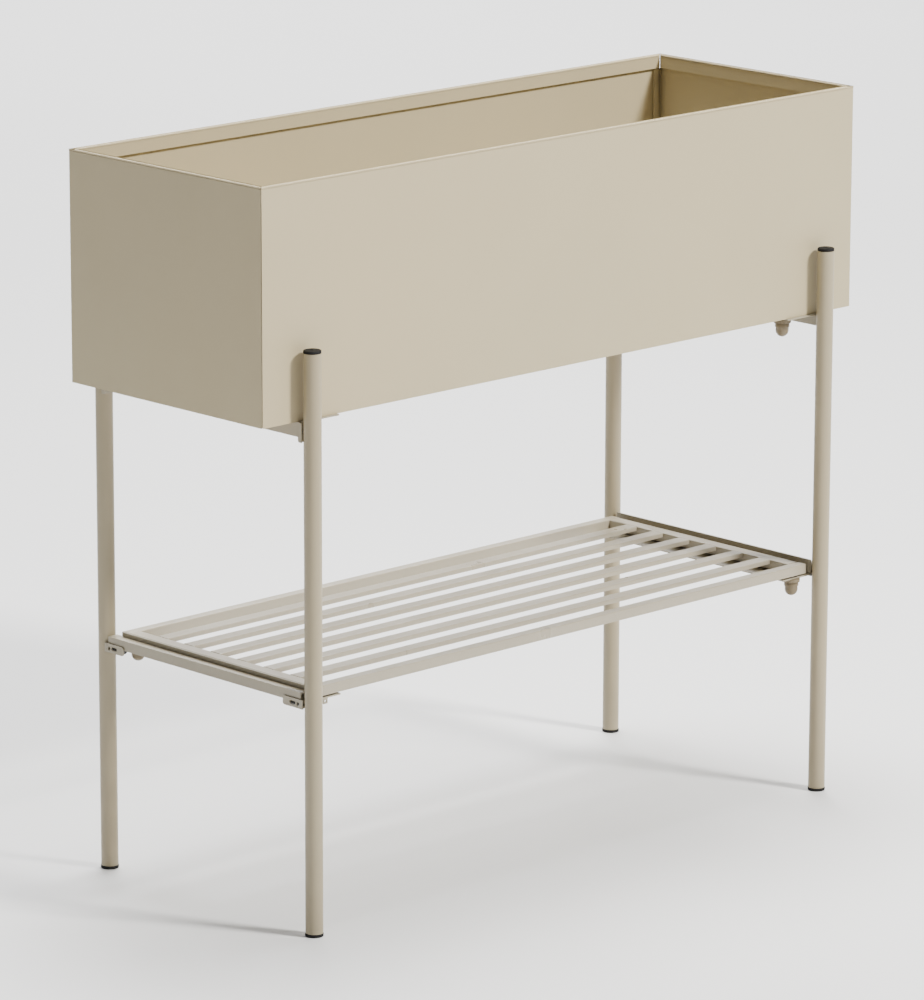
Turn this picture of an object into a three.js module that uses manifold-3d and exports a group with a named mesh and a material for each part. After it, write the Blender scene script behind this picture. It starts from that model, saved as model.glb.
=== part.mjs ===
// Raised planter on legs: a folded sheet steel box carried by a bolted tube stand with a slatted shelf.
// Millimetres, +Z up. X runs along the box, -Y is the front, and the feet stand on z = 0.
import * as THREE from 'three';
import { mergeVertices } from 'three/addons/utils/BufferGeometryUtils.js';
import Module from 'manifold-3d';

const wasm = await Module();
wasm.setup();

// Planter box
const BOX_LENGTH = 890;
const BOX_WIDTH = 300;
const BOX_HEIGHT = 250;
const BOX_BOTTOM = 555;
const WALL = 1.2;
const SEAM = 0.35;
const HEM_WIDTH = 4.2;
const HEM_DEPTH = 13.5;
const RETURN_FLANGE = 12;
const TRAY_RIM = 18;
const DRAIN_RADIUS = 4;
const DRAIN_XS = [-270, -90, 90, 270];
const DRAIN_YS = [-75, 75];

// Legs
const TUBE_RADIUS = 9.5;
const TUBE_WALL = 1.2;
const LEG_X = 389.5;
const LEG_Y = 165.5;
const LEG_TOP = 628.8;
const FOOT_BAND = 3.5;
const FOOT_RADIUS = 9.9;
const SPIGOT_RADIUS = 7.9;
const SPIGOT_LENGTH = 15;
const PLUG_RADIUS = 8.1;
const PLUG_HEAD = 3.2;
const PLUG_CHAMFER = 0.8;
const TUBE_SIDES = 32;

// Crossbars and shelf seats
const SHEET = 1.5;
const BAR_OUTER_X = 397.5;
const BAR_HALF_Y = 154.2;
const UPPER_FLANGE = 56;
const UPPER_WEB = 16;
const LOWER_FLANGE = 11;
const LOWER_WEB = 11.2;
const LOWER_DROP = 1.8;
const SEAT_LIP = 3;
const SEAT_LEDGE = 46;
const LIP_SHORT_END = 143;
const PAD_RADIUS = 6;
const PAD_HEIGHT = 2.2;
const PAD_Y = 110;
const TAB_XS = [359, 365];
const TAB_DROP = 6;

// Leg brackets: a lug on the crossbar's outer face and an ear bent in against the leg
const LUG_END = 158.6;
const LUG_CORNER = 3;
const LUG_HOLE_RADIUS = 2.2;
const UPPER_LUG = { start: 153.2, drop: 5, rise: 15.6, screwRise: 6.2, holes: [] };
const LOWER_LUG = {
  start: 128,
  drop: 6,
  rise: 4,
  screwRise: -2,
  holes: [[140.6, 145.6, -1], [151.4, 151.4, -1.6]],
};
const EAR_WIDTH = 11.2;
const SCREW_X = 392.5;
const SCREW_HOLE_RADIUS = 2.4;
const SCREW_SHANK_RADIUS = 2.1;
const SCREW_HEAD_RADIUS = 3;
const SCREW_HEAD_HEIGHT = 1.9;
const SLEEVE_RADIUS = 3.3;
const SLEEVE_LENGTH = 22;
const SCREW_REACH = 4.4;

// Shelf
const SHELF_TOP = 267;
const SHELF_LENGTH = 754;
const SHELF_DEPTH = 310;
const RAIL_HEIGHT = 11;
const RAIL_TOP = 13;
const END_RAIL_TOP = 16;
const RAIL_SHEET = 1.2;
const SLAT_COUNT = 6;
const SLAT_WIDTH = 17;
const SLAT_HEIGHT = 5;
const SLAT_PITCH = 42.4;
const WELD_GAP = 0.3;

// Domed cap nuts and their bolts
const KNOB_HEIGHT = 20;
const COLLAR_RADIUS = 9.8;
const COLLAR_HEIGHT = 4;
const BAND_RADIUS = 8.2;
const BAND_HEIGHT = 4.6;
const DOME_RADIUS = 7.4;
const NUT_CHAMFER = 0.5;
const NECK_RADIUS = 6.5;
const UPPER_NECK = 3.9;
const BOLT_RADIUS = 2.9;
const BOLT_HOLE_RADIUS = 3.2;
const BOLT_HEAD_RADIUS = 5;
const BOLT_HEAD_HEIGHT = 3.2;
const KNOB_SOCKET = 12;
const KNOB_SIDES = 28;
const UPPER_KNOB = [358, 130];
const LOWER_KNOB = [360, 148.5];

const steel = new THREE.MeshStandardMaterial({ color: 0xc3baa3, roughness: 0.55, metalness: 0.1 });
const tubeSteel = new THREE.MeshStandardMaterial({ color: 0xbab09a, roughness: 0.5, metalness: 0.1 });
const shelfSteel = new THREE.MeshStandardMaterial({ color: 0xc6c0ae, roughness: 0.5, metalness: 0.1 });
const blackPlastic = new THREE.MeshStandardMaterial({ color: 0x1c1c1c, roughness: 0.6, metalness: 0 });
const nutPlastic = new THREE.MeshStandardMaterial({ color: 0x9c9076, roughness: 0.45, metalness: 0 });
const blackSteel = new THREE.MeshStandardMaterial({ color: 0x202022, roughness: 0.5, metalness: 0.6 });
const zincSteel = new THREE.MeshStandardMaterial({ color: 0x9fa0a0, roughness: 0.35, metalness: 0.8 });

const planter = new THREE.Group();

// ---- Solid helpers -------------------------------------------------------------------------

function toSolid(geometry) {
  const bare = geometry.clone();
  bare.deleteAttribute('normal');
  bare.deleteAttribute('uv');
  const merged = mergeVertices(bare, 1e-4);
  return new wasm.Manifold(new wasm.Mesh({
    numProp: 3,
    vertProperties: new Float32Array(merged.attributes.position.array),
    triVerts: new Uint32Array(merged.index.array),
  }));
}

function toGeometry(solid) {
  const mesh = solid.getMesh();
  const geometry = new THREE.BufferGeometry();
  geometry.setAttribute('position', new THREE.BufferAttribute(mesh.vertProperties, 3));
  geometry.setIndex(new THREE.BufferAttribute(mesh.triVerts, 1));
  geometry.computeVertexNormals();
  return geometry;
}

// Joins the first list of geometries and cuts the second list out of the result.
function shape(parts, cutters = []) {
  let solid = toSolid(parts[0]);
  for (const part of parts.slice(1)) {
    solid = solid.add(toSolid(part));
  }
  for (const cutter of cutters) {
    solid = solid.subtract(toSolid(cutter));
  }
  return toGeometry(solid);
}

function block(x0, x1, y0, y1, z0, z1) {
  const geometry = new THREE.BoxGeometry(x1 - x0, y1 - y0, z1 - z0);
  return geometry.translate((x0 + x1) / 2, (y0 + y1) / 2, (z0 + z1) / 2);
}

// A turned solid about +Z from [radius, z] pairs listed from the bottom to the top.
function turned(profile, sides) {
  const points = profile.map(([radius, z]) => new THREE.Vector2(radius, z));
  return new THREE.LatheGeometry(points, sides).rotateX(Math.PI / 2);
}

function rod(radius, length, sides = 16) {
  return turned([[0, 0], [radius, 0], [radius, length], [0, length]], sides);
}

function outline(points) {
  return new THREE.Shape(points.map(([u, v]) => new THREE.Vector2(u, v)));
}

function addPiece(name, geometry, material, turn = 0) {
  const mesh = new THREE.Mesh(geometry, material);
  mesh.name = name;
  mesh.rotation.z = turn;
  planter.add(mesh);
}

// ---- Planter box ---------------------------------------------------------------------------

const halfLength = BOX_LENGTH / 2;
const halfWidth = BOX_WIDTH / 2;
const boxTop = BOX_BOTTOM + BOX_HEIGHT;

// The folded-over top of a wall whose outer face is at y = -reach, mitred at both ends.
function hemStrip(halfSpan, reach) {
  const edge = [
    [-halfSpan, -reach],
    [halfSpan, -reach],
    [halfSpan - HEM_WIDTH, -reach + HEM_WIDTH],
    [-halfSpan + HEM_WIDTH, -reach + HEM_WIDTH],
  ];
  return new THREE.ExtrudeGeometry(outline(edge), { depth: WALL, bevelEnabled: false })
    .translate(0, 0, boxTop - WALL);
}

function longWall() {
  const inside = -halfWidth + HEM_WIDTH;
  const hemEnd = halfLength - HEM_WIDTH - SEAM;
  return shape([
    block(-halfLength, halfLength, -halfWidth, -halfWidth + WALL, BOX_BOTTOM, boxTop),
    hemStrip(halfLength - SEAM, halfWidth),
    block(-hemEnd, hemEnd, inside - WALL, inside, boxTop - HEM_DEPTH, boxTop - WALL / 2),
  ]);
}

// Built facing the front, then turned to an end. Its side flanges lap inside the long walls.
function endWall() {
  const span = halfWidth - WALL - SEAM;
  const inside = -halfLength + HEM_WIDTH;
  const hemEnd = halfWidth - HEM_WIDTH - SEAM;
  const flangeTop = boxTop - HEM_DEPTH - WALL;
  const flangeFloor = BOX_BOTTOM + TRAY_RIM + WALL;
  const hemEdge = [
    [-halfWidth + SEAM + WALL, -halfLength],
    [halfWidth - SEAM - WALL, -halfLength],
    [halfWidth - SEAM - WALL, -halfLength + WALL],
    [hemEnd, inside],
    [-hemEnd, inside],
    [-halfWidth + SEAM + WALL, -halfLength + WALL],
  ];
  const hem = new THREE.ExtrudeGeometry(outline(hemEdge), { depth: WALL, bevelEnabled: false })
    .translate(0, 0, boxTop - WALL);
  const near = -halfLength;
  const far = -halfLength + RETURN_FLANGE;
  return shape([
    block(-span, span, -halfLength, -halfLength + WALL, BOX_BOTTOM, boxTop - WALL / 2),
    hem,
    block(-hemEnd, hemEnd, inside - WALL, inside, boxTop - HEM_DEPTH, boxTop - WALL / 2),
    block(-span, -span + WALL, near, far, flangeFloor, flangeTop),
    block(span - WALL, span, near, far, flangeFloor, flangeTop),
  ]);
}

// An open tray: the planting floor with an upturned rim and drainage holes.
function floorTray() {
  const inset = WALL + SEAM;
  const x = halfLength - inset;
  const y = halfWidth - inset;
  const rimTop = BOX_BOTTOM + TRAY_RIM;
  const cutters = [];
  for (const holeX of DRAIN_XS) {
    for (const holeY of DRAIN_YS) {
      cutters.push(rod(DRAIN_RADIUS, 3 * WALL).translate(holeX, holeY, BOX_BOTTOM - WALL));
    }
  }
  for (const side of [-1, 1]) {
    const [boltX, boltY] = UPPER_KNOB;
    cutters.push(rod(BOLT_HOLE_RADIUS, 3 * WALL).translate(side * boltX, -side * boltY, BOX_BOTTOM - WALL));
  }
  cutters.push(block(-x + WALL, x - WALL, -y + WALL, y - WALL, BOX_BOTTOM + WALL, rimTop + WALL));
  return shape([block(-x, x, -y, y, BOX_BOTTOM, rimTop)], cutters);
}

addPiece('wall_front', longWall(), steel);
addPiece('wall_back', longWall(), steel, Math.PI);
addPiece('wall_left', endWall(), steel, -Math.PI / 2);
addPiece('wall_right', endWall(), steel, Math.PI / 2);
addPiece('floor_tray', floorTray(), steel);

// ---- Legs ----------------------------------------------------------------------------------

const upperBarBottom = BOX_BOTTOM - UPPER_WEB;
const lowerBarTop = SHELF_TOP - LOWER_DROP;
const lowerBarBottom = lowerBarTop - LOWER_WEB;
const screwHeights = [upperBarBottom + UPPER_LUG.screwRise, lowerBarBottom + LOWER_LUG.screwRise];

// A cylinder along Y.
function crossRod(radius, x, y0, y1, z) {
  return rod(radius, y1 - y0).rotateX(-Math.PI / 2).translate(x, y0, z);
}

// Corner pieces are drawn at the back right and mirrored in x and y to the others.
function atCorner(geometry, sideX, sideY) {
  const placed = geometry.clone().scale(sideX, sideY, 1);
  if (sideX * sideY < 0) {
    const index = placed.index.array;
    for (let i = 0; i < index.length; i += 3) {
      [index[i + 1], index[i + 2]] = [index[i + 2], index[i + 1]];
    }
    placed.computeVertexNormals();
  }
  return placed;
}

function legTube() {
  const inner = TUBE_RADIUS - TUBE_WALL;
  const tube = turned([
    [inner, FOOT_BAND],
    [TUBE_RADIUS, FOOT_BAND],
    [TUBE_RADIUS, LEG_TOP],
    [inner, LEG_TOP],
    [inner, FOOT_BAND],
  ], TUBE_SIDES).translate(LEG_X, LEG_Y, 0);
  const holeStart = LEG_Y - TUBE_RADIUS - SHEET;
  const holeEnd = holeStart + 2 * SHEET + TUBE_WALL;
  return shape([tube], screwHeights.map((z) => (
    crossRod(SCREW_HOLE_RADIUS, SCREW_X, holeStart, holeEnd, z)
  )));
}

function footCap() {
  const chamfer = 0.7;
  const spigotTop = FOOT_BAND + SPIGOT_LENGTH;
  return shape([turned([
    [0, 0],
    [FOOT_RADIUS - chamfer, 0],
    [FOOT_RADIUS, chamfer],
    [FOOT_RADIUS, FOOT_BAND],
    [SPIGOT_RADIUS, FOOT_BAND],
    [SPIGOT_RADIUS, spigotTop],
    [0, spigotTop],
  ], TUBE_SIDES).translate(LEG_X, LEG_Y, 0)]);
}

// A plug with a head as wide as the tube, standing on the tube's rim.
function topPlug() {
  const top = LEG_TOP + PLUG_HEAD;
  return shape([turned([
    [0, LEG_TOP - SPIGOT_LENGTH],
    [PLUG_RADIUS, LEG_TOP - SPIGOT_LENGTH],
    [PLUG_RADIUS, LEG_TOP],
    [TUBE_RADIUS, LEG_TOP],
    [TUBE_RADIUS, top - PLUG_CHAMFER],
    [TUBE_RADIUS - PLUG_CHAMFER, top],
    [0, top],
  ], TUBE_SIDES).translate(LEG_X, LEG_Y, 0)]);
}

// ---- Leg brackets and their screws ---------------------------------------------------------

// A hole through a lug, from y0 to y1 at height z: round where they are equal, otherwise a slot.
function lugHole(y0, y1, z) {
  const start = BAR_OUTER_X - SHEET;
  const end = BAR_OUTER_X + 2 * SHEET;
  const ends = [y0, y1].map((y) => (
    rod(LUG_HOLE_RADIUS, end - start).rotateY(Math.PI / 2).translate(start, y, z)
  ));
  if (y0 === y1) {
    return ends.slice(1);
  }
  return [...ends, block(start, end, y0, y1, z - LUG_HOLE_RADIUS, z + LUG_HOLE_RADIUS)];
}

function bracket(barBottom, { start, drop, rise, screwRise, holes }) {
  const low = barBottom - drop;
  const high = barBottom + rise;
  const lug = new THREE.Shape();
  lug.moveTo(start + LUG_CORNER, low);
  lug.lineTo(LUG_END, low);
  lug.lineTo(LUG_END, high);
  lug.lineTo(start + LUG_CORNER, high);
  lug.quadraticCurveTo(start, high, start, high - LUG_CORNER);
  lug.lineTo(start, low + LUG_CORNER);
  lug.quadraticCurveTo(start, low, start + LUG_CORNER, low);
  // The outline's (u, v) become (y, z), and its depth runs along +X.
  const turn = new THREE.Matrix4().makeBasis(
    new THREE.Vector3(0, 1, 0),
    new THREE.Vector3(0, 0, 1),
    new THREE.Vector3(1, 0, 0),
  );
  const plate = new THREE.ExtrudeGeometry(lug, { depth: SHEET, bevelEnabled: false, curveSegments: 6 })
    .applyMatrix4(turn)
    .translate(BAR_OUTER_X, 0, 0);
  const outer = BAR_OUTER_X + SHEET;
  const earEnd = BAR_HALF_Y + SHEET;
  const ear = block(outer - EAR_WIDTH, outer, BAR_HALF_Y, earEnd, low, high);
  const screwZ = barBottom + screwRise;
  const screwHole = crossRod(SCREW_HOLE_RADIUS, SCREW_X, BAR_HALF_Y - SHEET, earEnd + SHEET, screwZ);
  const lugHoles = holes.flatMap(([y0, y1, height]) => lugHole(y0, y1, barBottom + height));
  return shape([plate, ear], [screwHole, ...lugHoles]);
}

// A screw along Y that holds a bracket's ear to the leg, with a head of the given size.
function bracketScrew(z, headRadius, headLength) {
  const seat = BAR_HALF_Y - headLength;
  return shape([
    crossRod(headRadius, SCREW_X, seat, BAR_HALF_Y, z),
    crossRod(SCREW_SHANK_RADIUS, SCREW_X, BAR_HALF_Y - SHEET, BAR_HALF_Y + SCREW_REACH, z),
  ]);
}

const corners = [
  ['front_left', -1, -1],
  ['front_right', 1, -1],
  ['back_left', -1, 1],
  ['back_right', 1, 1],
];

for (const [corner, sideX, sideY] of corners) {
  const upper = bracket(upperBarBottom, UPPER_LUG);
  const lower = bracket(lowerBarBottom, LOWER_LUG);
  const [upperScrewZ, lowerScrewZ] = screwHeights;
  addPiece(`leg_${corner}`, atCorner(legTube(), sideX, sideY), tubeSteel);
  addPiece(`leg_plug_${corner}`, atCorner(topPlug(), sideX, sideY), blackPlastic);
  addPiece(`foot_cap_${corner}`, atCorner(footCap(), sideX, sideY), blackPlastic);
  addPiece(`upper_bracket_${corner}`, atCorner(upper, sideX, sideY), tubeSteel);
  addPiece(`lower_bracket_${corner}`, atCorner(lower, sideX, sideY), tubeSteel);
  const shortScrew = bracketScrew(upperScrewZ, SCREW_HEAD_RADIUS, SCREW_HEAD_HEIGHT);
  const sleeveScrew = bracketScrew(lowerScrewZ, SLEEVE_RADIUS, SLEEVE_LENGTH);
  addPiece(`upper_screw_${corner}`, atCorner(shortScrew, sideX, sideY), zincSteel);
  addPiece(`lower_screw_${corner}`, atCorner(sleeveScrew, sideX, sideY), blackSteel);
}

// ---- Crossbars, shelf seats and domed nuts -------------------------------------------------

// An angle under the planter box: its wide top flange carries the floor, its web stiffens it.
function upperCrossbar() {
  const inner = BAR_OUTER_X - UPPER_FLANGE;
  const [knobX, knobY] = UPPER_KNOB;
  const hole = rod(BOLT_HOLE_RADIUS, 3 * SHEET).translate(knobX, -knobY, BOX_BOTTOM - 2 * SHEET);
  return shape([
    block(inner, BAR_OUTER_X, -BAR_HALF_Y, BAR_HALF_Y, BOX_BOTTOM - SHEET, BOX_BOTTOM),
    block(BAR_OUTER_X - SHEET, BAR_OUTER_X, -BAR_HALF_Y, BAR_HALF_Y, upperBarBottom, BOX_BOTTOM),
  ], [hole]);
}

// The outer angle of the shelf's side: a narrow top flange and a web facing outward.
function lowerCrossbar() {
  const inner = BAR_OUTER_X - LOWER_FLANGE;
  const webInner = BAR_OUTER_X - SHEET;
  return shape([
    block(inner, BAR_OUTER_X, -BAR_HALF_Y, BAR_HALF_Y, lowerBarTop - SHEET, lowerBarTop),
    block(webInner, BAR_OUTER_X, -BAR_HALF_Y, BAR_HALF_Y, lowerBarBottom, lowerBarTop),
  ]);
}

// The inner angle: a ledge with two pressed pads under the shelf, a raised lip whose near end is
// given, and a small tab at the far end.
function shelfSeat(lipEnd) {
  const wallOuter = BAR_OUTER_X - LOWER_FLANGE;
  const ledgeTop = SHELF_TOP - RAIL_HEIGHT - PAD_HEIGHT;
  const ledgeBottom = ledgeTop - SHEET;
  const [knobX, knobY] = LOWER_KNOB;
  const [tabStart, tabEnd] = TAB_XS;
  const tabTop = ledgeTop - SHEET / 2;
  const tab = block(tabStart, tabEnd, BAR_HALF_Y - SHEET, BAR_HALF_Y, ledgeBottom - TAB_DROP, tabTop);
  const tabHole = crossRod(
    SHEET,
    (tabStart + tabEnd) / 2,
    BAR_HALF_Y - 2 * SHEET,
    BAR_HALF_Y + SHEET,
    ledgeBottom - TAB_DROP / 2,
  );
  const boltHole = rod(BOLT_HOLE_RADIUS, 3 * SHEET).translate(knobX, -knobY, ledgeBottom - SHEET);
  const wallInner = wallOuter - SHEET;
  const padX = SHELF_LENGTH / 2 - RAIL_SHEET / 2;
  const pads = [-PAD_Y, PAD_Y].map((y) => (
    rod(PAD_RADIUS, PAD_HEIGHT + SHEET / 2).translate(padX, y, ledgeTop - SHEET / 2)
  ));
  return shape([
    block(wallOuter - SEAT_LEDGE, wallOuter, -BAR_HALF_Y, BAR_HALF_Y, ledgeBottom, ledgeTop),
    block(wallInner, wallOuter, -BAR_HALF_Y, BAR_HALF_Y, ledgeBottom, lowerBarTop),
    block(wallInner, wallOuter, -lipEnd, BAR_HALF_Y, ledgeBottom, SHELF_TOP + SEAT_LIP),
    ...pads,
    tab,
  ], [tabHole, boltHole]);
}

// A blind domed nut, hanging down from z = 0: a neck of the given length, if any, then a wide
// collar, a narrower band and a round end.
function domedNut(neck = 0) {
  const domeCentre = DOME_RADIUS - KNOB_HEIGHT - neck;
  const collarTop = -neck;
  const bandTop = collarTop - COLLAR_HEIGHT;
  const bandBottom = bandTop - BAND_HEIGHT;
  const steps = 6;
  const profile = [];
  for (let i = 0; i <= steps; i += 1) {
    const angle = (i / steps) * (Math.PI / 2);
    profile.push([DOME_RADIUS * Math.sin(angle), domeCentre - DOME_RADIUS * Math.cos(angle)]);
  }
  profile[0][0] = 0;
  profile.push([DOME_RADIUS, bandBottom]);
  profile.push([BAND_RADIUS, bandBottom + NUT_CHAMFER]);
  profile.push([BAND_RADIUS, bandTop]);
  profile.push([COLLAR_RADIUS, bandTop + NUT_CHAMFER]);
  profile.push([COLLAR_RADIUS, collarTop]);
  if (neck > 0) {
    profile.push([NECK_RADIUS, collarTop]);
    profile.push([NECK_RADIUS, 0]);
  }
  profile.push([BOLT_HOLE_RADIUS, 0]);
  profile.push([BOLT_HOLE_RADIUS, -KNOB_SOCKET]);
  profile.push([0, -KNOB_SOCKET]);
  return shape([turned(profile, KNOB_SIDES)]);
}

// A headed bolt: the head stands on z = 0 and the shank reaches down by its length.
function bolt(length) {
  return shape([
    rod(BOLT_HEAD_RADIUS, BOLT_HEAD_HEIGHT, 6),
    rod(BOLT_RADIUS, length + BOLT_HEAD_HEIGHT).translate(0, 0, -length),
  ]);
}

const ledgeUnderside = SHELF_TOP - RAIL_HEIGHT - PAD_HEIGHT - SHEET;
const flangeUnderside = BOX_BOTTOM - SHEET;
const shelfBoltSeat = SHELF_TOP - RAIL_SHEET - BOLT_HEAD_HEIGHT - WELD_GAP;
const floorBoltSeat = BOX_BOTTOM + WALL;
const shankIntoNut = KNOB_SOCKET - 1;

for (const [side, turn, lipEnd] of [['right', 0, BAR_HALF_Y], ['left', Math.PI, LIP_SHORT_END]]) {
  const [upperX, upperY] = UPPER_KNOB;
  const [lowerX, lowerY] = LOWER_KNOB;
  const upperBolt = bolt(floorBoltSeat - flangeUnderside + shankIntoNut);
  const lowerBolt = bolt(shelfBoltSeat - ledgeUnderside + shankIntoNut);
  addPiece(`upper_crossbar_${side}`, upperCrossbar(), tubeSteel, turn);
  addPiece(`lower_crossbar_${side}`, lowerCrossbar(), tubeSteel, turn);
  addPiece(`shelf_seat_${side}`, shelfSeat(lipEnd), tubeSteel, turn);
  const upperNut = domedNut(UPPER_NECK);
  const lowerNut = domedNut();
  addPiece(`upper_nut_${side}`, upperNut.translate(upperX, -upperY, flangeUnderside), nutPlastic, turn);
  addPiece(`lower_nut_${side}`, lowerNut.translate(lowerX, -lowerY, ledgeUnderside), nutPlastic, turn);
  addPiece(`upper_bolt_${side}`, upperBolt.translate(upperX, -upperY, floorBoltSeat), zincSteel, turn);
  addPiece(`lower_bolt_${side}`, lowerBolt.translate(lowerX, -lowerY, shelfBoltSeat), zincSteel, turn);
}

// ---- Shelf ---------------------------------------------------------------------------------

const shelfX = SHELF_LENGTH / 2;
const shelfY = SHELF_DEPTH / 2;
const railBottom = SHELF_TOP - RAIL_HEIGHT;

// A front or back rail: a channel opening downward, whose outer web and top run the whole shelf.
function longRail() {
  const innerEnd = shelfX - RAIL_SHEET - WELD_GAP;
  const inside = -shelfY + RAIL_TOP;
  const bridgeBottom = SHELF_TOP - RAIL_SHEET;
  return shape([
    block(-shelfX, shelfX, -shelfY, -shelfY + RAIL_SHEET, railBottom, SHELF_TOP),
    block(-shelfX, shelfX, -shelfY, inside, bridgeBottom, SHELF_TOP),
    block(-innerEnd, innerEnd, inside - RAIL_SHEET, inside, railBottom, bridgeBottom + RAIL_SHEET / 2),
  ]);
}

// An end rail: a channel between the long rails. Its outer web runs on under their tops.
function endRail() {
  const topY = shelfY - RAIL_TOP - WELD_GAP;
  const webY = shelfY - RAIL_SHEET - WELD_GAP;
  const webTop = SHELF_TOP - RAIL_SHEET / 2;
  const underTop = SHELF_TOP - RAIL_SHEET - WELD_GAP;
  const webInner = shelfX - RAIL_SHEET;
  const inside = shelfX - END_RAIL_TOP;
  return shape([
    block(inside, shelfX, -topY, topY, SHELF_TOP - RAIL_SHEET, SHELF_TOP),
    block(inside, inside + RAIL_SHEET, -topY, topY, railBottom, webTop),
    block(webInner, shelfX, -topY, topY, railBottom, webTop),
    block(webInner, shelfX, -webY, webY, railBottom, underTop),
  ]);
}

// A slat: a shallow channel opening downward, between the end rails.
function slat() {
  const x = shelfX - END_RAIL_TOP - WELD_GAP;
  const y = SLAT_WIDTH / 2;
  const low = SHELF_TOP - SLAT_HEIGHT;
  const inner = y - RAIL_SHEET;
  const hollow = block(-2 * x, 2 * x, -inner, inner, low - SLAT_HEIGHT, SHELF_TOP - RAIL_SHEET);
  return shape([block(-x, x, -y, y, low, SHELF_TOP)], [hollow]);
}

addPiece('shelf_rail_front', longRail(), shelfSteel);
addPiece('shelf_rail_back', longRail(), shelfSteel, Math.PI);
addPiece('shelf_rail_right', endRail(), shelfSteel);
addPiece('shelf_rail_left', endRail(), shelfSteel, Math.PI);
for (let i = 0; i < SLAT_COUNT; i += 1) {
  const y = (i - (SLAT_COUNT - 1) / 2) * SLAT_PITCH;
  addPiece(`shelf_slat_${i + 1}`, slat().translate(0, y, 0), shelfSteel);
}

export default planter;
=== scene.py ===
"""Raised planter on legs: the visual model, its materials, the studio and the camera. Metres, +Z up."""
import math
from collections import namedtuple

import bmesh
import bpy
from mathutils import Matrix, Vector


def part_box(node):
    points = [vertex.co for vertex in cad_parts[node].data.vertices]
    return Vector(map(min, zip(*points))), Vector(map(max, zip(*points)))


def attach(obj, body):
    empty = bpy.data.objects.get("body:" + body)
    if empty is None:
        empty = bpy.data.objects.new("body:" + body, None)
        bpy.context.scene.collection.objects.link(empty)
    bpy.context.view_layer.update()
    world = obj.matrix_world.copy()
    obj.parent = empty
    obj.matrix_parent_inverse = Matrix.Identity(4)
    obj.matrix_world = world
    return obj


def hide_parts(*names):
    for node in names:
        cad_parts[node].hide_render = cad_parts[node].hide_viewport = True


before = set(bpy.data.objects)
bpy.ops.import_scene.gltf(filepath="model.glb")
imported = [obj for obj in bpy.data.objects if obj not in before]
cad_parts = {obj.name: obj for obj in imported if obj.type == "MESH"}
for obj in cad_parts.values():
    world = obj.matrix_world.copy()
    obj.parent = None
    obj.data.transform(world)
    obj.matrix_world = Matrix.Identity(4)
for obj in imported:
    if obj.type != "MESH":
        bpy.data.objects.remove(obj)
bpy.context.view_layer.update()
MM = 0.001

# ---- Sizes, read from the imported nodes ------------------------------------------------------

wall_low, wall_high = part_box("wall_front")
HALF_LENGTH = wall_high.x
HALF_WIDTH = -wall_low.y
BOX_BOTTOM, BOX_TOP = wall_low.z, wall_high.z
rail_low, rail_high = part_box("shelf_rail_front")
SHELF_X, SHELF_Y = rail_high.x, -rail_low.y
RAIL_BOTTOM, SHELF_TOP = rail_low.z, rail_high.z
SHEET = 1.2 * MM
HEM_WIDTH = wall_high.y - wall_low.y
HEM_DEPTH = 13.5 * MM
RETURN_FLANGE = 12 * MM
TRAY_RIM = 18 * MM
CORNERS = ("front_left", "front_right", "back_left", "back_right")
SLAT_COUNT = 6


# ---- Materials ------------------------------------------------------------------------------

def srgb(r, g, b):
    """A linear colour from 8-bit sRGB values."""
    def linear(v):
        v /= 255
        return v / 12.92 if v <= 0.04045 else ((v + 0.055) / 1.055) ** 2.4
    return (linear(r), linear(g), linear(b), 1)


def scaled(colour, factor):
    """A colour made lighter or darker."""
    return tuple(factor * c for c in colour[:3]) + (1,)


# The colour sockets of a Mix node: its factor, its two colours and its result.
MIX_FACTOR, MIX_A, MIX_B, MIX_RESULT = 0, 6, 7, 2


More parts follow.
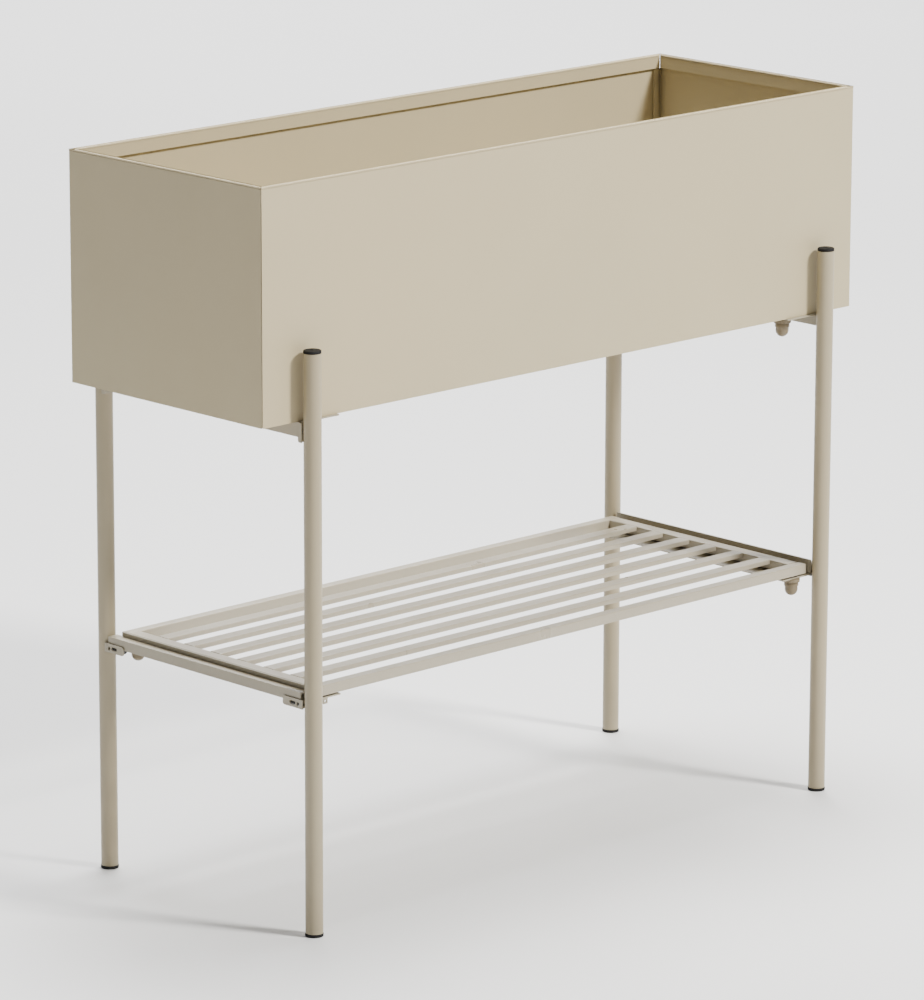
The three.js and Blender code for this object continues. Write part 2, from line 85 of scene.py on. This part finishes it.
class Nodes:
    """A material's node tree with short calls for the nodes used here."""

    def __init__(self, name):
        self.material = bpy.data.materials.new(name)
        self.material.use_nodes = True
        self.tree = self.material.node_tree
        self.shader = self.tree.nodes["Principled BSDF"]
        self.place = self.add("ShaderNodeTexCoord").outputs["Object"]

    def set(self, socket, value):
        self.shader.inputs[socket].default_value = value

    def add(self, kind, **values):
        node = self.tree.nodes.new(kind)
        for key, value in values.items():
            setattr(node, key, value)
        return node

    def link(self, source, target):
        self.tree.links.new(source, target)

    def noise(self, scale, detail=2.0, stretch=(1, 1, 1)):
        mapping = self.add("ShaderNodeMapping")
        mapping.inputs["Scale"].default_value = stretch
        self.link(self.place, mapping.inputs["Vector"])
        node = self.add("ShaderNodeTexNoise")
        node.inputs["Scale"].default_value = scale
        node.inputs["Detail"].default_value = detail
        self.link(mapping.outputs["Vector"], node.inputs["Vector"])
        return node.outputs["Fac"]

    def spread(self, value, low, high, start=0.3, end=0.7):
        node = self.add("ShaderNodeMapRange")
        node.inputs["From Min"].default_value = start
        node.inputs["From Max"].default_value = end
        node.inputs["To Min"].default_value = low
        node.inputs["To Max"].default_value = high
        self.link(value, node.inputs["Value"])
        return node.outputs["Result"]

    def mix(self, factor, a, b):
        node = self.add("ShaderNodeMix", data_type="RGBA", blend_type="MIX")
        for index, value in ((MIX_FACTOR, factor), (MIX_A, a), (MIX_B, b)):
            if isinstance(value, (tuple, float, int)):
                node.inputs[index].default_value = value
            else:
                self.link(value, node.inputs[index])
        return node.outputs[MIX_RESULT]

    def product(self, a, b):
        node = self.add("ShaderNodeMath", operation="MULTIPLY")
        self.link(a, node.inputs[0])
        self.link(b, node.inputs[1])
        return node.outputs["Value"]

    def height(self):
        node = self.add("ShaderNodeSeparateXYZ")
        self.link(self.place, node.inputs["Vector"])
        return node.outputs["Z"]

    def bump(self, layers):
        """Adds bump layers of (height, strength, distance), the coarsest first."""
        normal = None
        for value, strength, distance in layers:
            node = self.add("ShaderNodeBump")
            node.inputs["Strength"].default_value = strength
            node.inputs["Distance"].default_value = distance
            self.link(value, node.inputs["Height"])
            if normal is not None:
                self.link(normal, node.inputs["Normal"])
            normal = node.outputs["Normal"]
        self.link(normal, self.shader.inputs["Normal"])


DUST = srgb(126, 116, 98)
DUST_HEIGHT = 0.16


def powder_coat(name, colour, rough, grain=1.0, dust=0.10):
    """Powder-coated steel: even colour, fine orange peel, soft smudges and a little ground dust."""
    n = Nodes(name)
    base = srgb(*colour)
    shade = scaled(base, 0.955)
    pit = scaled(base, 0.9)
    warm = (1.03 * base[0], base[1], 0.97 * base[2], 1)
    cloud = n.spread(n.noise(scale=7, detail=3), 0, 1)
    drift = n.spread(n.noise(scale=2.3), 0, 0.8)
    speck = n.spread(n.noise(scale=1500, detail=1), 0, 0.5, start=0.62, end=0.75)
    tone = n.mix(speck, n.mix(drift, n.mix(cloud, base, shade), warm), pit)
    near_ground = n.spread(n.height(), dust, 0, start=0, end=DUST_HEIGHT)
    patch = n.product(near_ground, n.spread(n.noise(scale=28, detail=4), 0.2, 1))
    n.link(n.mix(patch, tone, DUST), n.shader.inputs["Base Color"])
    smudge = n.spread(n.noise(scale=14, detail=4, stretch=(1, 1, 0.6)), rough - 0.05, rough + 0.07)
    n.link(smudge, n.shader.inputs["Roughness"])
    n.set("Specular IOR Level", 0.45)
    n.bump([
        (n.noise(scale=11, detail=1), 0.12, 0.6 * MM),
        (n.noise(scale=520), 0.16 * grain, 0.12 * MM),
        (n.noise(scale=1700, detail=1), 0.22 * grain, 0.05 * MM),
    ])
    return n.material


def moulded_plastic(name, colour, rough, grain, specular=0.45):
    """Injection-moulded plastic, and the near-black lower screws, with a fine texture and slightly uneven
    gloss.
    """
    n = Nodes(name)
    base = srgb(*colour)
    lighter = tuple(min(1, 1.18 * c + 0.004) for c in base[:3]) + (1,)
    tone = n.mix(n.spread(n.noise(scale=60, detail=3), 0, 0.7), base, lighter)
    gloss = n.spread(n.noise(scale=180, detail=3), rough - 0.07, rough + 0.09)
    n.link(tone, n.shader.inputs["Base Color"])
    n.link(gloss, n.shader.inputs["Roughness"])
    n.set("Specular IOR Level", specular)
    n.bump([
        (n.noise(scale=420), 0.2, 0.1 * MM),
        (n.noise(scale=2400, detail=1), grain, 0.06 * MM),
    ])
    return n.material


def zinc_plate(name):
    """Zinc-plated fasteners: bright metal with fine scratches and dull patches."""
    n = Nodes(name)
    dull = n.spread(n.noise(scale=130, detail=3), 0, 1)
    gloss = n.spread(n.noise(scale=300, detail=4), 0.26, 0.48)
    n.link(n.mix(dull, srgb(186, 188, 188), srgb(150, 150, 146)), n.shader.inputs["Base Color"])
    n.link(gloss, n.shader.inputs["Roughness"])
    n.set("Metallic", 1)
    n.bump([(n.noise(scale=900, stretch=(1, 8, 1)), 0.2, 0.05 * MM)])
    return n.material


BOX_COAT = powder_coat("box_powder_coat", (176, 164, 132), 0.5)
TUBE_COAT = powder_coat("tube_powder_coat", (156, 145, 119), 0.38, 0.7, 0.3)
BAR_COAT = powder_coat("bar_powder_coat", (152, 144, 124), 0.34, 0.8)
SHELF_COAT = powder_coat("shelf_powder_coat", (158, 150, 132), 0.32, 0.7)
PLUG_PLASTIC = moulded_plastic("plug_plastic", (22, 21, 21), 0.75, 0.3, 0.2)
FOOT_PLASTIC = moulded_plastic("foot_plastic", (20, 19, 19), 0.7, 0.5, 0.25)
NUT_PLASTIC = moulded_plastic("nut_plastic", (108, 95, 71), 0.36, 0.12)
# The lower screws are near-black partly as their own colour and partly as painted shade: they make the
# lug holes in front of them read dark.
BLACK_SCREW_HOLE_SHADE = moulded_plastic("black_screw_hole_shade", (26, 26, 27), 0.45, 0.1)
ZINC = zinc_plate("zinc_plate")


# ---- Mesh helpers ---------------------------------------------------------------------------

EDGE_ANGLE = math.radians(35)


def finish_mesh(obj, bevel=0.0, segments=3):
    """Rounds the sharp edges and shades the rest smooth."""
    for polygon in obj.data.polygons:
        polygon.use_smooth = True
    if bevel:
        rounding = obj.modifiers.new("rounded edges", "BEVEL")
        rounding.width = bevel
        rounding.segments = segments
        rounding.limit_method = "ANGLE"
        rounding.angle_limit = EDGE_ANGLE
        rounding.use_clamp_overlap = True
        rounding.harden_normals = True
    normals = obj.modifiers.new("weighted normals", "WEIGHTED_NORMAL")
    normals.keep_sharp = True


def add_piece(name, bm, material, node, bevel=0.0, segments=3):
    """Makes a mesh object from bm that stands for a CAD node and rides on the part's one body."""
    bmesh.ops.recalc_face_normals(bm, faces=bm.faces)
    mesh = bpy.data.meshes.new(name)
    bm.to_mesh(mesh)
    bm.free()
    obj = bpy.data.objects.new(name, mesh)
    bpy.context.scene.collection.objects.link(obj)
    mesh.materials.append(material)
    finish_mesh(obj, bevel, segments)
    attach(obj, "root")
    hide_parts(node)


FOLD_STEPS = 5


def folded_profile(path, radius):
    """The outline of a folded sheet that lies to the left of path.

    A left bend is rounded inside the path's corner. A right bend stands out past it as a small bead.
    """
    points = [Vector(p) for p in path]
    outer, inner = [], []
    for i, point in enumerate(points):
        before = (point - points[i - 1]).normalized() if i > 0 else None
        after = (points[i + 1] - point).normalized() if i < len(points) - 1 else None
        if before is None or after is None:
            along = after if before is None else before
            outer.append(point)
            inner.append(point + SHEET * Vector((-along.y, along.x)))
            continue
        turn = -before.angle_signed(after)
        start = point - before * radius * math.tan(turn / 2)
        centre = start + radius * Vector((-before.y, before.x))
        spoke = (start - centre).normalized()
        for step in range(FOLD_STEPS + 1):
            out = Matrix.Rotation(turn * step / FOLD_STEPS, 2) @ spoke
            outer.append(centre + radius * out)
            inner.append(centre + (radius - SHEET) * out)
    return outer + inner[::-1]


def join_rings(bm, first, last):
    """Joins two outlines with the same number of points into a closed prism."""
    rings = [[bm.verts.new(point) for point in ring] for ring in (first, last)]
    count = len(first)
    for i in range(count):
        j = (i + 1) % count
        bm.faces.new((rings[0][i], rings[0][j], rings[1][j], rings[1][i]))
    bm.faces.new(rings[0][::-1])
    bm.faces.new(rings[1])


def sweep(bm, profile, place, end_at):
    """Sweeps an outline between two ends. place(p, s) gives outline point p at station s."""
    first = [place(p, -end_at(p)) for p in profile]
    last = [place(p, end_at(p)) for p in profile]
    join_rings(bm, first, last)


TUBE_SIDES = 72
NUT_SIDES = 64


def turned(profile, axis, sides=TUBE_SIDES):
    """A turned body about +Z through axis, from (radius, z) pairs; radius 0 closes an end."""
    bm = bmesh.new()
    rings = []
    for radius, z in profile:
        if radius == 0:
            rings.append([bm.verts.new(axis + Vector((0, 0, z)))])
            continue
        ring = []
        for k in range(sides):
            a = 2 * math.pi * k / sides
            ring.append(bm.verts.new(axis + Vector((radius * math.cos(a), radius * math.sin(a), z))))
        rings.append(ring)
    for low, high in zip(rings, rings[1:]):
        for k in range(sides):
            m = (k + 1) % sides
            if len(low) == 1:
                bm.faces.new((low[0], high[k], high[m]))
            elif len(high) == 1:
                bm.faces.new((low[k], high[0], low[m]))
            else:
                bm.faces.new((low[k], low[m], high[m], high[k]))
    return bm


def arc(radius, centre_r, centre_z, start, end, steps):
    """Points of a round in a turned profile, angles in degrees from the outward direction."""
    points = []
    for i in range(steps + 1):
        a = math.radians(start + (end - start) * i / steps)
        points.append((centre_r + radius * math.cos(a), centre_z + radius * math.sin(a)))
    return points


Round = namedtuple("Round", "axis radius foot top")


def round_part(node):
    """A round node's vertical axis, radius, foot and top."""
    low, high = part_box(node)
    centre = (low + high) / 2
    return Round(Vector((centre.x, centre.y, 0)), (high.x - low.x) / 2, low.z, high.z)


# ---- Planter box ----------------------------------------------------------------------------

FOLD = 1.7 * MM
SEAM = 0.45 * MM
FLANGE_GAP = 0.35 * MM
SHEET_BEVEL = 0.28 * MM


def wall_outline():
    """A wall's section as (depth from the outer face, z): up the hem, over the rim, down the outside.

    The path bends right, so the sheet lies outside it and stands past the CAD wall's faces.
    """
    hem_low = BOX_TOP - HEM_DEPTH
    path = [(-HEM_WIDTH, hem_low), (-HEM_WIDTH, BOX_TOP), (0, BOX_TOP), (0, BOX_BOTTOM)]
    return [(-p.x, p.y) for p in folded_profile(path, FOLD)]


def return_flange(bm, turn, reach, half_span, side):
    """The flange at one end of an end wall, lapped inside the long wall there."""
    low = BOX_BOTTOM + TRAY_RIM + SHEET
    high = BOX_TOP - HEM_DEPTH - SHEET
    edge = half_span - SHEET - FLANGE_GAP
    corners = [
        (side * edge, SHEET),
        (side * edge, RETURN_FLANGE),
        (side * (edge - SHEET), RETURN_FLANGE),
        (side * (edge - SHEET), SHEET),
    ]
    first = [turn @ Vector((x, -reach + y, low)) for x, y in corners]
    last = [turn @ Vector((x, -reach + y, high)) for x, y in corners]
    join_rings(bm, first, last)


def wall(name, reach, half_span, heading, flanges):
    """A wall at distance reach from the middle, facing the heading, mitred into its neighbours."""
    bm = bmesh.new()
    turn = Matrix.Rotation(heading, 3, "Z")
    sweep(
        bm,
        wall_outline(),
        lambda p, along: turn @ Vector((along, -reach + p[0], p[1])),
        lambda p: half_span - SEAM - p[0],
    )
    if flanges:
        for side in (-1, 1):
            return_flange(bm, turn, reach, half_span, side)
    add_piece(name + "_panel", bm, BOX_COAT, name, SHEET_BEVEL, 2)


wall("wall_front", HALF_WIDTH, HALF_LENGTH, 0, False)
wall("wall_back", HALF_WIDTH, HALF_LENGTH, math.pi, False)
wall("wall_left", HALF_LENGTH, HALF_WIDTH, -math.pi / 2, True)
wall("wall_right", HALF_LENGTH, HALF_WIDTH, math.pi / 2, True)


# ---- Legs, plugs and feet -------------------------------------------------------------------

TUBE_LIP = 0.35 * MM
MERGE_DISTANCE = 1e-6


def tube(corner, leg):
    """An open tube with slightly rounded ends."""
    bore = leg.radius - SHEET
    profile = [(bore, leg.foot)]
    profile += arc(TUBE_LIP, leg.radius - TUBE_LIP, leg.foot + TUBE_LIP, -90, 0, 4)
    profile += arc(TUBE_LIP, leg.radius - TUBE_LIP, leg.top - TUBE_LIP, 0, 90, 4)
    profile += arc(TUBE_LIP, bore + TUBE_LIP, leg.top - TUBE_LIP, 90, 180, 4)
    profile += [(bore, leg.foot)]
    bm = turned(profile, leg.axis)
    bmesh.ops.remove_doubles(bm, verts=bm.verts, dist=MERGE_DISTANCE)
    add_piece("tube_" + corner, bm, TUBE_COAT, "leg_" + corner)


PLUG_GAP = 0.1 * MM
HEAD_INSET = 0.05 * MM
HEAD_EDGE = 0.3 * MM
HEAD_ROUND = 1.0 * MM
DIMPLE_RADIUS = 2.2 * MM
DIMPLE_FLOOR_RADIUS = 1.7 * MM
DIMPLE_WALL = 0.35 * MM
DIMPLE_DEPTH = 0.4 * MM


def plug(corner, leg):
    """A plug whose head stands on the tube's rim, with a moulding dimple in its middle."""
    part = round_part("leg_plug_" + corner)
    shaft = leg.radius - SHEET - PLUG_GAP
    head = leg.radius - HEAD_INSET
    profile = [(0, part.foot), (shaft, part.foot), (shaft, leg.top)]
    profile += arc(HEAD_EDGE, head - HEAD_EDGE, leg.top + HEAD_EDGE, -90, 0, 3)
    profile += arc(HEAD_ROUND, head - HEAD_ROUND, part.top - HEAD_ROUND, 0, 90, 6)
    profile += [(DIMPLE_RADIUS, part.top), (DIMPLE_FLOOR_RADIUS, part.top - DIMPLE_WALL)]
    profile += [(0, part.top - DIMPLE_DEPTH)]
    add_piece("plug_" + corner, turned(profile, leg.axis), PLUG_PLASTIC, "leg_plug_" + corner)


SPIGOT_GAP = 0.3 * MM
SOLE_DEPTH = 0.35 * MM
SOLE_INNER = 5 * MM
SOLE_OUTER = 5.6 * MM
FOOT_ROUND = 1.0 * MM
FOOT_EDGE = 0.5 * MM


def foot(corner, leg):
    """A cap under the tube, hollowed a little below, with a spigot in the bore."""
    part = round_part("foot_cap_" + corner)
    spigot = leg.radius - SHEET - SPIGOT_GAP
    profile = [(0, SOLE_DEPTH), (SOLE_INNER, SOLE_DEPTH), (SOLE_OUTER, 0)]
    profile += arc(FOOT_ROUND, part.radius - FOOT_ROUND, FOOT_ROUND, -90, 0, 5)
    profile += arc(FOOT_EDGE, part.radius - FOOT_EDGE, leg.foot - FOOT_EDGE, 0, 90, 4)
    profile += [(spigot, leg.foot), (spigot, part.top), (0, part.top)]
    add_piece("foot_" + corner, turned(profile, leg.axis), FOOT_PLASTIC, "foot_cap_" + corner)


for corner in CORNERS:
    leg = round_part("leg_" + corner)
    tube(corner, leg)
    plug(corner, leg)
    foot(corner, leg)


# ---- Domed nuts -----------------------------------------------------------------------------

NUT_HEIGHT = 20 * MM
DOME_RADIUS = 7.4 * MM
BAND_RADIUS = 8.2 * MM
GROOVE_RADIUS = 7.5 * MM
NECK_RADIUS = 6.5 * MM
NUT_BORE = 3.2 * MM
NUT_BORE_DEPTH = 11.5 * MM
BAND_EDGE = 0.4 * MM
COLLAR_FOOT = 0.6 * MM
COLLAR_EDGE = 0.4 * MM
# Depths below the top of the collar.
DOME_END = 8.9 * MM
BAND_EDGE_DEPTH = 8.3 * MM
BAND_TOP = 5.0 * MM
GROOVE_LOW = 4.6 * MM
GROOVE_TOP = 4.2 * MM
COLLAR_FOOT_DEPTH = 3.5 * MM


def domed_nut(node):
    """A moulded nut that hangs down: a neck if it is a tall one, collar, groove, band and a round end."""
    part = round_part(node)
    top = part.foot + NUT_HEIGHT
    collar = part.radius
    profile = [(0, part.foot)] + arc(DOME_RADIUS, 0, part.foot + DOME_RADIUS, -90, 0, 12)[1:]
    profile += [(DOME_RADIUS, top - DOME_END)]
    profile += arc(BAND_EDGE, BAND_RADIUS - BAND_EDGE, top - BAND_EDGE_DEPTH, -60, 0, 3)
    profile += [(BAND_RADIUS, top - BAND_TOP), (GROOVE_RADIUS, top - GROOVE_LOW)]
    profile += [(GROOVE_RADIUS, top - GROOVE_TOP)]
    profile += arc(COLLAR_FOOT, collar - COLLAR_FOOT, top - COLLAR_FOOT_DEPTH, -90, 0, 4)
    profile += arc(COLLAR_EDGE, collar - COLLAR_EDGE, top - COLLAR_EDGE, 0, 90, 3)
    if part.top - top > MM:
        profile += [(NECK_RADIUS, top), (NECK_RADIUS, part.top)]
    bore_end = part.top - NUT_BORE_DEPTH
    profile += [(NUT_BORE, part.top), (NUT_BORE, bore_end), (0, bore_end)]
    add_piece(node + "_dome", turned(profile, part.axis, NUT_SIDES), NUT_PLASTIC, node)


for level in ("upper", "lower"):
    for side in ("left", "right"):
        domed_nut(f"{level}_nut_{side}")


# ---- Shelf ----------------------------------------------------------------------------------

SHELF_FOLD = 1.5 * MM
SHELF_BEVEL = 0.25 * MM
RAIL_TOP = 13 * MM
END_RAIL_TOP = 16 * MM


def channel_section(top_width):
    """A channel's section as (depth from the outer web's outer face, z), open at the bottom."""
    path = [(top_width, RAIL_BOTTOM), (top_width, SHELF_TOP), (0, SHELF_TOP), (0, RAIL_BOTTOM)]
    return [(p.x, p.y) for p in folded_profile(path, SHELF_FOLD)]


def rail(node, heading, reach, top_width, end_at):
    """A shelf rail whose outer face is at distance reach from the middle."""
    turn = Matrix.Rotation(heading, 3, "Z")
    bm = bmesh.new()
    sweep(
        bm,
        channel_section(top_width),
        lambda p, along: turn @ Vector((along, -reach + p[0], p[1])),
        end_at,
    )
    add_piece(node + "_channel", bm, SHELF_COAT, node, SHELF_BEVEL, 2)


def long_rail_end(p):
    """The inner web stops short of the end rail's web; the top and outer web run to the corner."""
    inner_web = p[0] > RAIL_TOP - 2 * SHELF_FOLD and p[1] < SHELF_TOP - SHELF_FOLD
    return SHELF_X - (2 * SHELF_FOLD if inner_web else 0)


rail("shelf_rail_front", 0, SHELF_Y, RAIL_TOP, long_rail_end)
rail("shelf_rail_back", math.pi, SHELF_Y, RAIL_TOP, long_rail_end)
for node, heading in (("shelf_rail_left", -math.pi / 2), ("shelf_rail_right", math.pi / 2)):
    rail(node, heading, SHELF_X, END_RAIL_TOP, lambda p: SHELF_Y - RAIL_TOP)

for i in range(SLAT_COUNT):
    node = f"shelf_slat_{i + 1}"
    low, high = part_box(node)
    path = [(high.y, low.z), (high.y, high.z), (low.y, high.z), (low.y, low.z)]
    bm = bmesh.new()
    sweep(
        bm,
        [(p.x, p.y) for p in folded_profile(path, SHELF_FOLD)],
        lambda p, along: Vector((along, p[0], p[1])),
        lambda p: SHELF_X - END_RAIL_TOP,
    )
    add_piece(node + "_channel", bm, SHELF_COAT, node, SHELF_BEVEL, 2)


# ---- CAD solids kept with finer edges and better materials ----------------------------------

# For each kind of node: its material and the width of its rounded edges in millimetres.
KEPT = {
    "floor_tray": (BOX_COAT, 0.3),
    "upper_crossbar": (BAR_COAT, 0.5),
    "lower_crossbar": (BAR_COAT, 0.5),
    "shelf_seat": (BAR_COAT, 0.5),
    "upper_bracket": (BAR_COAT, 0.4),
    "lower_bracket": (BAR_COAT, 0.4),
    "upper_screw": (ZINC, 0.5),
    # Near-black lower screws: partly painted shade for the insides of the lug holes.
    "lower_screw": (BLACK_SCREW_HOLE_SHADE, 0.5),
    "upper_bolt": (ZINC, 0.4),
    "lower_bolt": (ZINC, 0.4),
}

for node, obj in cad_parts.items():
    for prefix, (material, bevel) in KEPT.items():
        if node.startswith(prefix):
            for slot in obj.material_slots:
                slot.material = material
            finish_mesh(obj, bevel * MM)


# ---- Studio ---------------------------------------------------------------------------------

FLOOR_REACH = 30
FLOOR_GREYS = ((0.80, 0.80, 0.80, 1), (0.78, 0.78, 0.78, 1))
WORLD_STRENGTH = 0.3


def paper_floor():
    """A wide, matte, almost even floor at the planter's feet."""
    corners = [(-1, -1), (1, -1), (1, 1), (-1, 1)]
    mesh = bpy.data.meshes.new("floor")
    mesh.from_pydata([(FLOOR_REACH * x, FLOOR_REACH * y, 0) for x, y in corners], [], [(0, 1, 2, 3)])
    obj = bpy.data.objects.new("floor", mesh)
    bpy.context.scene.collection.objects.link(obj)
    paper = Nodes("floor_paper")
    tone = paper.mix(paper.spread(paper.noise(scale=0.8), 0, 1), *FLOOR_GREYS)
    paper.link(tone, paper.shader.inputs["Base Color"])
    paper.set("Roughness", 0.95)
    paper.set("Specular IOR Level", 0.1)
    mesh.materials.append(paper.material)
    return obj


floor = paper_floor()


def softbox(name, place, aim, size, power, tint=(1, 1, 1)):
    """A square area light at place that shines at aim."""
    data = bpy.data.lights.new(name, "AREA")
    data.shape = "SQUARE"
    data.size = size
    data.energy = power
    data.color = tint
    light = bpy.data.objects.new(name, data)
    light.location = place
    light.rotation_mode = "QUATERNION"
    light.rotation_quaternion = (Vector(aim) - Vector(place)).to_track_quat("-Z", "Y")
    bpy.context.scene.collection.objects.link(light)


softbox("key", place=(1.8, -4.4, 4.2), aim=(0, 0, 0.5), size=0.9, power=640, tint=(1, 0.985, 0.95))
softbox("top", place=(0.5, 0.6, 4.6), aim=(0, 0, 0.3), size=1.8, power=380)
softbox("backdrop", place=(4.4, 4.8, 4.6), aim=(4.2, 4.4, 0), size=3.2, power=620)

world = bpy.data.worlds.new("studio")
world.use_nodes = True
sky = world.node_tree.nodes["Background"].inputs
sky["Color"].default_value = (1, 1, 1, 1)
sky["Strength"].default_value = WORLD_STRENGTH
bpy.context.scene.world = world


# ---- Camera ---------------------------------------------------------------------------------

CAMERA_PLACE = (-4.3221, -4.4664, 1.9113)
CAMERA_TILT, CAMERA_ROLL, CAMERA_HEADING = 76.137, -0.152, -43.919
SENSOR_WIDTH = 36
LENS_LENGTH = 208.755
VIEW_DISTANCE = 100

camera_data = bpy.data.cameras.new("camera")
camera_data.sensor_width = SENSOR_WIDTH
camera_data.lens = LENS_LENGTH
camera_data.clip_end = VIEW_DISTANCE
camera = bpy.data.objects.new("camera", camera_data)
camera.location = CAMERA_PLACE
camera.rotation_mode = "XYZ"
camera.rotation_euler = [math.radians(a) for a in (CAMERA_TILT, CAMERA_ROLL, CAMERA_HEADING)]
bpy.context.scene.collection.objects.link(camera)
bpy.context.scene.camera = camera
